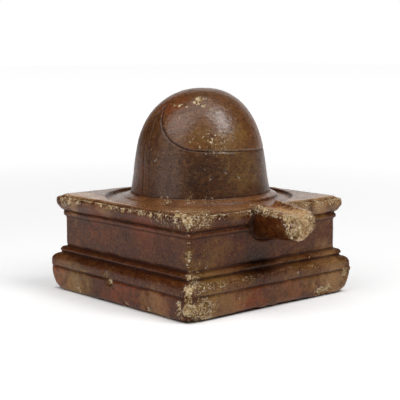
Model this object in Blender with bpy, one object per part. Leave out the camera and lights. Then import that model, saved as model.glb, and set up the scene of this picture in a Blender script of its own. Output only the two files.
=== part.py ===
"""A small household shiva lingam, carved from one block of brown stone.

The domed lingam stands in a shallow round basin on a square moulded seat. A short
spout with a water channel leaves the basin over the middle of one side.

Frame: metres, +Z up, the origin at the middle of the underside. The spout points
along -Y. The lines cut into the dome face -X.
"""
import math

import bmesh
import bpy
from mathutils import Vector

MM = 0.001

# Seat, from the ground up. A half is the distance from the middle to a side.
PLINTH_HALF = 60.2 * MM
PLINTH_HEIGHT = 12.6 * MM
PLINTH_FOOT_ROUND = 2.4 * MM
PLINTH_FOOT_RISE = 3.4 * MM
PLINTH_FOOT_CORNER = 9.8 * MM
PLINTH_CORNER = 1.2 * MM
PLINTH_WORN_HEIGHT = 10.0 * MM
PLINTH_WORN_CURVE = 1.3
PLINTH_QUIRK_HEIGHT = 1.0 * MM
PLINTH_QUIRK_DEPTH = 0.8 * MM
OVOLO_PROUD = 0.1 * MM
OVOLO_HEIGHT = 7.1 * MM
OVOLO_SETBACK = 3.9 * MM
OVOLO_ROUND_HEIGHT = 3.8 * MM
BEAD_QUIRK_HEIGHT = 1.0 * MM
BEAD_QUIRK_DEPTH = 0.9 * MM
BEAD_HALF = 56.8 * MM
BEAD_HEIGHT = 2.9 * MM
BEAD_FOOT_INSET = 0.3 * MM
BEAD_FOOT_RISE = 0.8 * MM
BEAD_SHELF = 0.9 * MM
NECK_HALF = 53.7 * MM
NECK_HEIGHT = 16.8 * MM
NECK_FOOT_RISE = 0.4 * MM
NECK_CORNER = 0.9 * MM
FILLET_HALF = 54.8 * MM
FILLET_HEIGHT = 3.2 * MM
FILLET_UNDERCUT = 0.7 * MM
SPLAY_QUIRK_HEIGHT = 0.9 * MM
SPLAY_QUIRK_DEPTH = 1.0 * MM
SPLAY_FOOT_HALF = 55.2 * MM
SPLAY_INSET = 0.6 * MM
SPLAY_HEIGHT = 2.8 * MM
RIM_HALF = 57.6 * MM
RIM_HEIGHT = 5.4 * MM
RIM_SWELL_RISE = 1.4 * MM
RIM_CORNER = 1.4 * MM
RIM_QUIRK_WIDTH = 0.9 * MM
RIM_QUIRK_RUN = 0.4 * MM
RIM_QUIRK_DEPTH = 0.8 * MM
TOP_MARGIN = 1.9 * MM
TOP_STEP = 0.7 * MM
TOP_SIDE = 0.2 * MM
TOP_CORNER = 5.0 * MM

# Basin round the lingam
BASIN_RADIUS = 52.3 * MM
BASIN_DEPTH = 1.8 * MM
BASIN_FLOOR_RISE = 1.9 * MM
BASIN_EDGE_ROUND = 0.6 * MM

# Low collar at the lingam's foot
COLLAR_RADIUS = 43.2 * MM
COLLAR_STEP = 0.9 * MM
COLLAR_EDGE_ROUND = 0.35 * MM
COLLAR_RISE = 1.2 * MM

# Lingam: a drum that flares at its foot, with a domed top whose crown is off centre
DRUM_RADIUS = 36.35 * MM
DRUM_FLARE = 2.9 * MM
DRUM_FLARE_HEIGHT = 24.0 * MM
DRUM_FLARE_CURVE = 1.8
DRUM_FOOT_MARGIN = 0.7 * MM
DRUM_FOOT_DROP = 0.2 * MM
DRUM_FOOT_GROOVE = 0.5 * MM
DRUM_FOOT_RISE = 1.0 * MM
DRUM_HEIGHT = 12.4 * MM
DOME_HEIGHT = 45.3 * MM
DOME_FULLNESS = 2.2
CROWN_DRIFT_X = 1.3 * MM
CROWN_DRIFT_Y = -1.15 * MM
CROWN_DRIFT_CURVE = 4
LINGAM_SHIFT_X = 1.0 * MM
LINGAM_SHIFT_Y = -0.88 * MM
LINGAM_LEAN_X = math.radians(-0.33)
LINGAM_LEAN_Y = math.radians(-0.37)

# Spout, measured from the rim's face
SPOUT_PROJECTION = 23.0 * MM
SPOUT_WIDTH = 23.6 * MM
SPOUT_DEPTH = 19.6 * MM
SPOUT_END_DEPTH = 14.4 * MM
SPOUT_TAPER = 0.8 * MM
SPOUT_LIP_RISE = 1.7 * MM
SPOUT_FALL = 3.9 * MM
SPOUT_END_ROUND = 4.5 * MM
SPOUT_END_INSET = 2.8 * MM
SPOUT_LIP_ROUND = 1.8 * MM
SPOUT_SIDE = 0.4 * MM
CHANNEL_WIDTH = 15.0 * MM
CHANNEL_DEPTH = 2.9 * MM
CHANNEL_SINK = 0.35 * MM
CHANNEL_FALL = 1.6 * MM

# Lines cut into the dome
LINE_WIDTH = 1.0 * MM
LINE_DEPTH = 0.55 * MM
LINE_FACING = math.radians(-4.5)
BAND_HEIGHT = 25.7 * MM
BAND_BACK_DROP = 2.0 * MM
BAND_RISE = 23.5 * MM
BAND_SPREAD = math.radians(62)
BAND_CURVE = 2.7
STEM_SPACING = 5.4 * MM
STEM_TURN = math.radians(-1.2)
STEM_SKEW = math.radians(8.5)
STEM_FOOT = 2.0 * MM
STEM_SHOULDER = 28.0 * MM
STEM_TOP = 44.0 * MM
STEM_TOP_SPACING = 4.4 * MM
STEM_TOP_CURVE = 1.5

# How finely round shapes are divided
DOME_SEGMENTS = 80
DOME_RINGS = 16
DRUM_RINGS = 3
CORNER_SEGMENTS = 5
FOOT_STEPS = 2
OVOLO_STEPS = 5
BEAD_STEPS = 4
RIM_STEPS = 5
SPOUT_SEGMENTS = 14
SPOUT_END_RINGS = 5
CHANNEL_SEGMENTS = 10
BAND_STATIONS = 96
BAND_FINENESS = 2000
STEM_STATIONS = 16
SHARPEST_MITRE = 0.3
SLOPE_STEP = 0.2 * MM

# Overlaps that let one shape run into another
OVERLAP = 6.0 * MM
CLEAR_ABOVE = 12.0 * MM

STONE_COLOUR = (0.105, 0.058, 0.034, 1.0)
STONE_ROUGHNESS = 0.42
SHARP_ANGLE = math.radians(34)

# Sizes that follow from the ones above
DRUM_FOOT_RADIUS = DRUM_RADIUS + DRUM_FLARE
OVOLO_HALF = PLINTH_HALF + OVOLO_PROUD
SPLAY_HALF = RIM_HALF - SPLAY_INSET
QUIRK_TOP_Z = PLINTH_HEIGHT + PLINTH_QUIRK_HEIGHT
OVOLO_TOP_Z = QUIRK_TOP_Z + OVOLO_HEIGHT
BEAD_FOOT_Z = OVOLO_TOP_Z + BEAD_QUIRK_HEIGHT
BEAD_TOP_Z = BEAD_FOOT_Z + BEAD_HEIGHT
NECK_TOP_Z = BEAD_TOP_Z + NECK_HEIGHT
FILLET_TOP_Z = NECK_TOP_Z + FILLET_HEIGHT
SPLAY_FOOT_Z = FILLET_TOP_Z + SPLAY_QUIRK_HEIGHT
SPLAY_TOP_Z = SPLAY_FOOT_Z + SPLAY_HEIGHT
RIM_TOP_Z = SPLAY_TOP_Z + RIM_HEIGHT
TOP_Z = RIM_TOP_Z + TOP_STEP
BASIN_EDGE_Z = TOP_Z - BASIN_DEPTH
FLOOR_Z = BASIN_EDGE_Z + BASIN_FLOOR_RISE
COLLAR_EDGE_Z = FLOOR_Z + COLLAR_STEP
DRUM_FOOT_Z = COLLAR_EDGE_Z + COLLAR_RISE
DRUM_TOP_Z = DRUM_FOOT_Z + DRUM_HEIGHT
APEX_Z = DRUM_TOP_Z + DOME_HEIGHT
SPOUT_END_Y = -(RIM_HALF + SPOUT_PROJECTION)


def remove_everything():
    for old in list(bpy.data.objects):
        bpy.data.objects.remove(old, do_unlink=True)


def stone_material():
    material = bpy.data.materials.new("brown_stone")
    material.use_nodes = True
    shader = material.node_tree.nodes["Principled BSDF"]
    shader.inputs["Base Color"].default_value = STONE_COLOUR
    shader.inputs["Roughness"].default_value = STONE_ROUGHNESS
    shader.inputs["Metallic"].default_value = 0.0
    return material


def finish_object(name, bm):
    """Turn the bmesh into a scene object with outward faces."""
    bmesh.ops.recalc_face_normals(bm, faces=bm.faces)
    mesh = bpy.data.meshes.new(name)
    bm.to_mesh(mesh)
    bm.free()
    mesh.shade_smooth()
    mesh.set_sharp_from_angle(angle=SHARP_ANGLE)
    made = bpy.data.objects.new(name, mesh)
    bpy.context.collection.objects.link(made)
    return made


def hide_as_tool(tool):
    tool.hide_render = True
    tool.display_type = "WIRE"


def combine(target, tool, operation):
    """Add or cut away a tool's shape with a live Boolean modifier."""
    hide_as_tool(tool)
    modifier = target.modifiers.new(tool.name, "BOOLEAN")
    modifier.operation = operation
    modifier.solver = "EXACT"
    modifier.object = tool


def loft(bm, rings, closed=False, caps=True):
    """Skin rings of equally many vertices, and cap the two ends or join them in a loop."""
    count = len(rings[0])
    pairs = list(zip(rings, rings[1:]))
    if closed:
        pairs.append((rings[-1], rings[0]))
    for lower, upper in pairs:
        for i in range(count):
            j = (i + 1) % count
            bm.faces.new((lower[i], lower[j], upper[j], upper[i]))
    if caps and not closed:
        bm.faces.new(reversed(rings[0]))
        bm.faces.new(rings[-1])


def quarter_round(start, end, steps):
    """A quarter ellipse that leaves start upright and reaches end level."""
    points = []
    for i in range(steps + 1):
        angle = 0.5 * math.pi * i / steps
        half = end[0] + (start[0] - end[0]) * math.cos(angle)
        height = start[1] + (end[1] - start[1]) * math.sin(angle)
        points.append((half, height))
    return points


def foot_round(start, end, steps):
    """A quarter ellipse that leaves start level and reaches end upright."""
    points = []
    for i in range(steps + 1):
        angle = 0.5 * math.pi * i / steps
        half = start[0] + (end[0] - start[0]) * math.sin(angle)
        height = start[1] + (end[1] - start[1]) * (1.0 - math.cos(angle))
        points.append((half, height))
    return points


def plinth_corner(height):
    """Corner radius of the plinth: worn round at the foot, crisp above."""
    worn = max(0.0, 1.0 - height / PLINTH_WORN_HEIGHT) ** PLINTH_WORN_CURVE
    return PLINTH_CORNER + (PLINTH_FOOT_CORNER - PLINTH_CORNER) * worn


def plinth_profile():
    """The plinth and the quirk above it."""
    foot = (PLINTH_HALF - PLINTH_FOOT_ROUND, 0.0)
    side = foot_round(foot, (PLINTH_HALF, PLINTH_FOOT_RISE), FOOT_STEPS)
    side.append((PLINTH_HALF, 0.5 * (PLINTH_FOOT_RISE + PLINTH_WORN_HEIGHT)))
    side.append((PLINTH_HALF, PLINTH_WORN_HEIGHT))
    side.append((PLINTH_HALF, PLINTH_HEIGHT))
    rings = [(half, height, plinth_corner(height)) for half, height in side]
    quirk_middle = PLINTH_HEIGHT + 0.5 * PLINTH_QUIRK_HEIGHT
    rings.append((PLINTH_HALF - PLINTH_QUIRK_DEPTH, quirk_middle, PLINTH_CORNER))
    return rings


def lower_mouldings():
    """The ovolo and the bead under the neck."""
    ovolo_side = (OVOLO_HALF, OVOLO_TOP_Z - OVOLO_ROUND_HEIGHT)
    ovolo_back = (OVOLO_HALF - OVOLO_SETBACK, OVOLO_TOP_Z)
    points = [(OVOLO_HALF, QUIRK_TOP_Z)]
    points += quarter_round(ovolo_side, ovolo_back, OVOLO_STEPS)
    points.append((BEAD_HALF - BEAD_QUIRK_DEPTH, OVOLO_TOP_Z + 0.5 * BEAD_QUIRK_HEIGHT))
    points.append((BEAD_HALF - BEAD_FOOT_INSET, BEAD_FOOT_Z))
    bead_side = (BEAD_HALF, BEAD_FOOT_Z + BEAD_FOOT_RISE)
    points += quarter_round(bead_side, (NECK_HALF + BEAD_SHELF, BEAD_TOP_Z), BEAD_STEPS)
    return [(half, height, PLINTH_CORNER) for half, height in points]


def neck_and_splay():
    """The plain neck, the fillet over it, the quirk and the splay below the rim."""
    points = [
        (NECK_HALF, BEAD_TOP_Z + NECK_FOOT_RISE),
        (NECK_HALF, NECK_TOP_Z),
        (FILLET_HALF, NECK_TOP_Z + FILLET_UNDERCUT),
        (FILLET_HALF, FILLET_TOP_Z),
        (FILLET_HALF - SPLAY_QUIRK_DEPTH, FILLET_TOP_Z + 0.5 * SPLAY_QUIRK_HEIGHT),
        (SPLAY_FOOT_HALF, SPLAY_FOOT_Z),
    ]
    return [(half, height, NECK_CORNER) for half, height in points]


def rim_and_top():
    """The swollen rim, the quirk behind it and the edge of the flat top."""
    top_half = RIM_HALF - TOP_MARGIN
    points = [(SPLAY_HALF, SPLAY_TOP_Z)]
    rim_side = (RIM_HALF, SPLAY_TOP_Z + RIM_SWELL_RISE)
    points += quarter_round(rim_side, (top_half + RIM_QUIRK_WIDTH, RIM_TOP_Z), RIM_STEPS)
    points.append((top_half + RIM_QUIRK_RUN, RIM_TOP_Z - RIM_QUIRK_DEPTH))
    rings = [(half, height, RIM_CORNER) for half, height in points]
    rings.append((top_half, RIM_TOP_Z + TOP_SIDE, TOP_CORNER))
    rings.append((top_half - TOP_STEP, TOP_Z, TOP_CORNER))
    return rings


def seat_profile():
    """The seat from the underside to the flat top, as (half, height, corner radius)."""
    return plinth_profile() + lower_mouldings() + neck_and_splay() + rim_and_top()


def rounded_square(bm, half, height, corner):
    """A level ring of vertices with quarter-round corners."""
    corner = min(corner, 0.5 * half)
    ring = []
    for quarter in range(4):
        turn = 0.5 * math.pi * quarter
        middle = Vector((half - corner, half - corner))
        for i in range(CORNER_SEGMENTS + 1):
            angle = 0.5 * math.pi * i / CORNER_SEGMENTS
            point = middle + corner * Vector((math.cos(angle), math.sin(angle)))
            x = point.x * math.cos(turn) - point.y * math.sin(turn)
            y = point.x * math.sin(turn) + point.y * math.cos(turn)
            ring.append(bm.verts.new((x, y, height)))
    return ring


def make_seat():
    bm = bmesh.new()
    rings = [rounded_square(bm, half, height, corner) for half, height, corner in seat_profile()]
    loft(bm, rings)
    return finish_object("shiva_lingam", bm)


def crown_drift(height):
    """How far the lingam's middle has drifted off its upright at a height."""
    share = min(1.0, max(0.0, height - DRUM_TOP_Z) / DOME_HEIGHT)
    return Vector((CROWN_DRIFT_X, CROWN_DRIFT_Y, 0.0)) * share ** CROWN_DRIFT_CURVE


def turned_solid(name, profile, first=0.0):
    """A solid turned about the lingam's upright from (radius, height) points.

    first turns the divisions by a share of one, so that two solids' edges don't meet.
    """
    bm = bmesh.new()
    rings = []
    for radius, height in profile[1:-1]:
        ring = []
        for i in range(DOME_SEGMENTS):
            angle = 2 * math.pi * (i + first) / DOME_SEGMENTS
            point = Vector((radius * math.cos(angle), radius * math.sin(angle), height))
            ring.append(bm.verts.new(point + crown_drift(height)))
        rings.append(ring)
    loft(bm, rings, caps=False)
    for ring, (_, height) in ((rings[0], profile[0]), (rings[-1], profile[-1])):
        tip = bm.verts.new(Vector((0.0, 0.0, height)) + crown_drift(height))
        for i in range(DOME_SEGMENTS):
            bm.faces.new((ring[i], ring[(i + 1) % DOME_SEGMENTS], tip))
    return finish_object(name, bm)


def make_basin_cutter():
    above = DRUM_FOOT_Z + OVERLAP
    profile = [
        (0.0, FLOOR_Z),
        (COLLAR_RADIUS - COLLAR_STEP, FLOOR_Z),
        (BASIN_RADIUS - BASIN_EDGE_ROUND, BASIN_EDGE_Z),
        (BASIN_RADIUS, BASIN_EDGE_Z + BASIN_EDGE_ROUND),
        (BASIN_RADIUS, above),
        (0.0, above),
    ]
    return turned_solid("basin_cutter", profile, first=0.5)


def dome_radius(height):
    """Radius of the lingam at a height above the seat's underside."""
    above_foot = max(0.0, height - DRUM_FOOT_Z)
    flare = DRUM_FLARE * max(0.0, 1.0 - above_foot / DRUM_FLARE_HEIGHT) ** DRUM_FLARE_CURVE
    share = min(1.0, max(0.0, height - DRUM_TOP_Z) / DOME_HEIGHT)
    return DRUM_RADIUS * (1.0 - share ** DOME_FULLNESS) ** (1.0 / DOME_FULLNESS) + flare


def lingam_profile():
    profile = [
        (0.0, FLOOR_Z - OVERLAP),
        (COLLAR_RADIUS, FLOOR_Z - OVERLAP),
        (COLLAR_RADIUS, COLLAR_EDGE_Z - COLLAR_EDGE_ROUND),
        (COLLAR_RADIUS - COLLAR_EDGE_ROUND, COLLAR_EDGE_Z),
        (DRUM_FOOT_RADIUS + DRUM_FOOT_MARGIN, DRUM_FOOT_Z - DRUM_FOOT_DROP),
        (DRUM_FOOT_RADIUS - DRUM_FOOT_GROOVE, DRUM_FOOT_Z),
        (dome_radius(DRUM_FOOT_Z + DRUM_FOOT_RISE), DRUM_FOOT_Z + DRUM_FOOT_RISE),
    ]
    for i in range(1, DRUM_RINGS + 1):
        height = DRUM_FOOT_Z + DRUM_HEIGHT * i / DRUM_RINGS
        profile.append((dome_radius(height), height))
    for i in range(1, DOME_RINGS):
        height = DRUM_TOP_Z + DOME_HEIGHT * math.sin(0.5 * math.pi * i / DOME_RINGS)
        profile.append((dome_radius(height), height))
    profile.append((0.0, APEX_Z))
    return profile


def make_lingam():
    return turned_solid("lingam", lingam_profile())


def lip_height(y):
    """Height of the spout's lips, which fall evenly from the basin's edge to the end."""
    share = (-y - BASIN_RADIUS) / (-SPOUT_END_Y - BASIN_RADIUS)
    return TOP_Z + SPOUT_LIP_RISE - SPOUT_FALL * share


def spout_ring(bm, y, inset):
    """The spout's outline across: flat lips over a half-round underside."""
    share = (-y - BASIN_RADIUS) / (-SPOUT_END_Y - BASIN_RADIUS)
    half = 0.5 * SPOUT_WIDTH - 0.5 * SPOUT_TAPER * share - inset
    lips = lip_height(y) - inset
    depth = SPOUT_DEPTH + (SPOUT_END_DEPTH - SPOUT_DEPTH) * share - 2.0 * inset
    under = min(half, depth - SPOUT_LIP_ROUND - SPOUT_SIDE)
    under_middle = lips - depth + under
    outline = [(half - SPOUT_LIP_ROUND, lips), (half, lips - SPOUT_LIP_ROUND)]
    for i in range(SPOUT_SEGMENTS + 1):
        angle = math.pi * i / SPOUT_SEGMENTS
        outline.append((half * math.cos(angle), under_middle - under * math.sin(angle)))
    outline += [(-half, lips - SPOUT_LIP_ROUND), (-half + SPOUT_LIP_ROUND, lips)]
    return [bm.verts.new((x, y, z)) for x, z in outline]


def make_spout():
    bm = bmesh.new()
    root_y = -(BASIN_RADIUS - OVERLAP)
    rings = [spout_ring(bm, root_y, 0.0), spout_ring(bm, -RIM_HALF, 0.0)]
    for i in range(SPOUT_END_RINGS + 1):
        angle = 0.5 * math.pi * i / SPOUT_END_RINGS
        y = SPOUT_END_Y + SPOUT_END_ROUND * (1.0 - math.sin(angle))
        inset = SPOUT_END_INSET * (1.0 - math.cos(angle))
        rings.append(spout_ring(bm, y, inset))
    loft(bm, rings)
    return finish_object("spout", bm)


def make_channel_cutter():
    """The water channel, rounded across, from the basin out through the spout's end."""
    bm = bmesh.new()
    half = 0.5 * CHANNEL_WIDTH
    above = TOP_Z + CLEAR_ABOVE
    length = -SPOUT_END_Y - BASIN_RADIUS
    rings = []
    for y in (-0.5 * (COLLAR_RADIUS + BASIN_RADIUS), SPOUT_END_Y - OVERLAP):
        floor = BASIN_EDGE_Z - CHANNEL_SINK - CHANNEL_FALL * (-y - BASIN_RADIUS) / length
        outline = [(half, above)]
        for i in range(CHANNEL_SEGMENTS + 1):
            angle = math.pi * i / CHANNEL_SEGMENTS
            outline.append((half * math.cos(angle), floor + CHANNEL_DEPTH * (1.0 - math.sin(angle))))
        outline.append((-half, above))
        rings.append([bm.verts.new((x, y, z)) for x, z in outline])
    loft(bm, rings)
    return finish_object("channel_cutter", bm)


def on_dome(angle, height):
    """A point of the dome's surface: angle from the side that the lines face, and height."""
    turn = math.pi + LINE_FACING + angle
    radius = dome_radius(height)
    point = Vector((radius * math.cos(turn), radius * math.sin(turn), height))
    return point + crown_drift(height)


def dome_normal(angle, height):
    above = on_dome(angle, height + SLOPE_STEP)
    below = on_dome(angle, height - SLOPE_STEP)
    along = (above - below).normalized()
    turn = math.pi + LINE_FACING + angle
    around = Vector((-math.sin(turn), math.cos(turn), 0.0))
    return around.cross(along).normalized()


def groove_cutter(name, places, closed):
    """A diamond bar laid along the dome that cuts a V groove where it sinks in."""
    bm = bmesh.new()
    points = [on_dome(angle, height) for angle, height in places]
    normals = [dome_normal(angle, height) for angle, height in places]
    count = len(points)
    rings = []
    for i in range(count):
        if closed:
            before, after = points[i - 1], points[(i + 1) % count]
        else:
            before, after = points[max(i - 1, 0)], points[min(i + 1, count - 1)]
        incoming = (points[i] - before).normalized() if before != points[i] else None
        outgoing = (after - points[i]).normalized() if after != points[i] else None
        along = ((incoming or outgoing) + (outgoing or incoming)).normalized()
        across = along.cross(normals[i]).normalized()
        stretch = 1.0 / max(SHARPEST_MITRE, along.dot(outgoing or incoming))
        half = 0.5 * LINE_WIDTH * stretch
        corners = (
            points[i] + normals[i] * LINE_DEPTH,
            points[i] + across * half,
            points[i] - normals[i] * LINE_DEPTH,
            points[i] - across * half,
        )
        rings.append([bm.verts.new(corner) for corner in corners])
    loft(bm, rings, closed)
    return finish_object(name, bm)


def band_height(angle):
    """Height of the long line: level round the back, swept up to a point in front."""
    share = max(0.0, 1.0 - abs(angle) / BAND_SPREAD)
    back = 0.5 * (1.0 - math.cos(angle))
    level = DRUM_FOOT_Z + BAND_HEIGHT - BAND_BACK_DROP * back
    return level + BAND_RISE * share ** BAND_CURVE


def evenly_spaced(places, count):
    """Pick count places, ends included, at equal distances along a finely divided line."""
    points = [on_dome(angle, height) for angle, height in places]
    reached = [0.0]
    for before, after in zip(points, points[1:]):
        reached.append(reached[-1] + (after - before).length)
    picked = []
    for i in range(count):
        goal = reached[-1] * i / (count - 1)
        nearest = min(range(len(reached)), key=lambda k: abs(reached[k] - goal))
        picked.append(places[nearest])
    return picked


def make_band_cutter():
    """The long line: half of it from the point in front to the back, then its mirror image."""
    fine = [math.pi * i / BAND_FINENESS for i in range(BAND_FINENESS + 1)]
    half = evenly_spaced([(angle, band_height(angle)) for angle in fine], BAND_STATIONS // 2 + 1)
    mirrored = [(-angle, height) for angle, height in reversed(half[1:-1])]
    return groove_cutter("band_cutter", half + mirrored, True)


def make_stem_cutter(side):
    """One of the pair of upright lines under the point, drawn together at the top."""
    places = []
    for i in range(STEM_STATIONS):
        share = i / (STEM_STATIONS - 1)
        height = DRUM_FOOT_Z + STEM_FOOT + (STEM_TOP - STEM_FOOT) * share
        above = max(0.0, height - DRUM_FOOT_Z - STEM_SHOULDER) / (STEM_TOP - STEM_SHOULDER)
        spacing = STEM_SPACING + (STEM_TOP_SPACING - STEM_SPACING) * above ** STEM_TOP_CURVE
        angle = side * math.asin(0.5 * spacing / dome_radius(height)) + STEM_TURN
        places.append((angle + STEM_SKEW * (0.5 - share), height))
    name = "stem_cutter_left" if side < 0 else "stem_cutter_right"
    return groove_cutter(name, places, False)


def make_lingam_axis():
    """The lingam's own upright, slightly off the seat's middle and slightly leaning."""
    axis = bpy.data.objects.new("lingam_axis", None)
    axis.location = (LINGAM_SHIFT_X, LINGAM_SHIFT_Y, 0.0)
    axis.rotation_euler = (LINGAM_LEAN_X, LINGAM_LEAN_Y, 0.0)
    bpy.context.collection.objects.link(axis)
    return axis


def main():
    remove_everything()
    stone = make_seat()
    stone.data.materials.append(stone_material())
    axis = make_lingam_axis()
    lingam = make_lingam()
    lines = [make_band_cutter(), make_stem_cutter(-1), make_stem_cutter(1)]
    for shape in [lingam] + lines:
        shape.parent = axis
    combine(stone, make_spout(), "UNION")
    combine(stone, make_basin_cutter(), "DIFFERENCE")
    combine(stone, lingam, "UNION")
    combine(stone, make_channel_cutter(), "DIFFERENCE")
    for line in lines:
        combine(stone, line, "DIFFERENCE")


main()
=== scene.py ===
"""The carved stone of a small household shiva lingam, dressed over its CAD block.

Lengths in the carving are millimetres, because a carver thinks in them. Blender gets
metres. The frame is the CAD's: +Z up, the spout along -Y, the cut lines facing -X.
"""
import itertools
import math

import bpy
import numpy as np
from mathutils import Matrix, Vector


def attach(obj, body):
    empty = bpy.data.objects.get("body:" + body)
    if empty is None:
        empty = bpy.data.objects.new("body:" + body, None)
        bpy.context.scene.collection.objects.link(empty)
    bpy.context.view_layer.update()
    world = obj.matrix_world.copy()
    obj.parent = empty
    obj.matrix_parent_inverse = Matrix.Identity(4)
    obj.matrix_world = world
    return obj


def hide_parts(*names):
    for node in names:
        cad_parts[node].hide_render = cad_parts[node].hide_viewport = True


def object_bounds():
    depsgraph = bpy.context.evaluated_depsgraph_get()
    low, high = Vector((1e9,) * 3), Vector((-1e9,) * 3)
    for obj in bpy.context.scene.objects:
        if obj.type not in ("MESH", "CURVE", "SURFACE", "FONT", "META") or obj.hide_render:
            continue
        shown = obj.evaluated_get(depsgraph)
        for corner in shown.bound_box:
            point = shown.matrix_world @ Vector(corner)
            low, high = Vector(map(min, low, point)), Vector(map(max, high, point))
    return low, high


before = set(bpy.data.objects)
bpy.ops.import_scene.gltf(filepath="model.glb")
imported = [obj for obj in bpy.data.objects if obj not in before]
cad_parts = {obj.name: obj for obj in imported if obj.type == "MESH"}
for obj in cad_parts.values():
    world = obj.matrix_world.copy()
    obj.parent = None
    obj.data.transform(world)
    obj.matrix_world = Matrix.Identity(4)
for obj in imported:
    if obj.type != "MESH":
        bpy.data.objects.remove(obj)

MM = 0.001
cad_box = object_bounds()

# Camera
EYE = Vector((-0.41314, -0.47025, 0.13758))
VIEW = Vector((0.65463, 0.74351, -0.13661))
ROLL = math.radians(-0.09)
LENS = 100.88
SENSOR = 36.0

# Sizes of the block that the carving follows, as in the CAD
RIM_QUIRK_MIDDLE = 56.15
RIM_TOP_Z = 53.7
DRUM_FOOT_Z = 56.6
DRUM_RADIUS = 36.35
DRUM_FLARE = 2.9
DRUM_FLARE_HEIGHT = 24.0
DRUM_FLARE_CURVE = 1.8
DRUM_HEIGHT = 12.4
DRUM_TOP_Z = DRUM_FOOT_Z + DRUM_HEIGHT
DOME_HEIGHT = 45.3
DOME_FULLNESS = 2.2
CROWN_DRIFT = (1.3, -1.15)
CROWN_DRIFT_CURVE = 4
LINGAM_SHIFT = (1.0, -0.88, 0.0)
LINGAM_LEAN_X = math.radians(-0.33)
LINGAM_LEAN_Y = math.radians(-0.37)
SPOUT_HALF = 11.8
SPOUT_UNDER_Z = 48.3
NECK_SPAN = ((25.0, 27.0), (43.0, 45.0))

# Quirks round the seat, from the plinth's up: height, half at the mouth, depth, half
# width and the share of the depth that is left at the upright corners
QUIRKS = (
    (13.1, 60.2, 0.65, 0.9, 0.15), (21.15, 56.7, 0.8, 0.9, 0.6), (24.9, 54.2, 0.5, 0.8, 0.7),
    (41.7, 54.4, 0.35, 0.6, 0.8), (45.05, 54.9, 0.8, 0.9, 0.7),
)

# How deep hand, use and time went
RIM_QUIRK_DEEPER = 0.6
SPOUT_UNDERCUT = 1.1
RIM_SLIDE = 0.3
FOOT_SLIDE = 0.28
FAR_CORNER_FILL = 0.7
FOOT_WEAR = 1.3
END_ROUGHNESS = 0.75
MOST_EDGE_LOST = 0.3
DIMPLE_DEPTH = 0.075
CHIP_ROUGHNESS = 0.25

# Lines cut into the dome
LINE_DEPTH = 0.6
LINE_HALF_WIDTH = 0.65
LINE_LIP = 0.12
STEM_DEPTH = 0.34
STEM_HALF_WIDTH = 0.6
LINE_FACING = math.radians(-4.5)
BAND_HEIGHT = 25.7
BAND_BACK_DROP = 2.0
BAND_RISE = 23.5
BAND_SPREAD = math.radians(62)
BAND_CURVE = 2.7
STEM_SPACING = 5.4
STEM_TURN = math.radians(-1.2)
STEM_SKEW = math.radians(8.5)
STEM_FOOT = 2.0
STEM_SHOULDER = 28.0
STEM_TOP = 44.0
STEM_TOP_SPACING = 4.4

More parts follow.
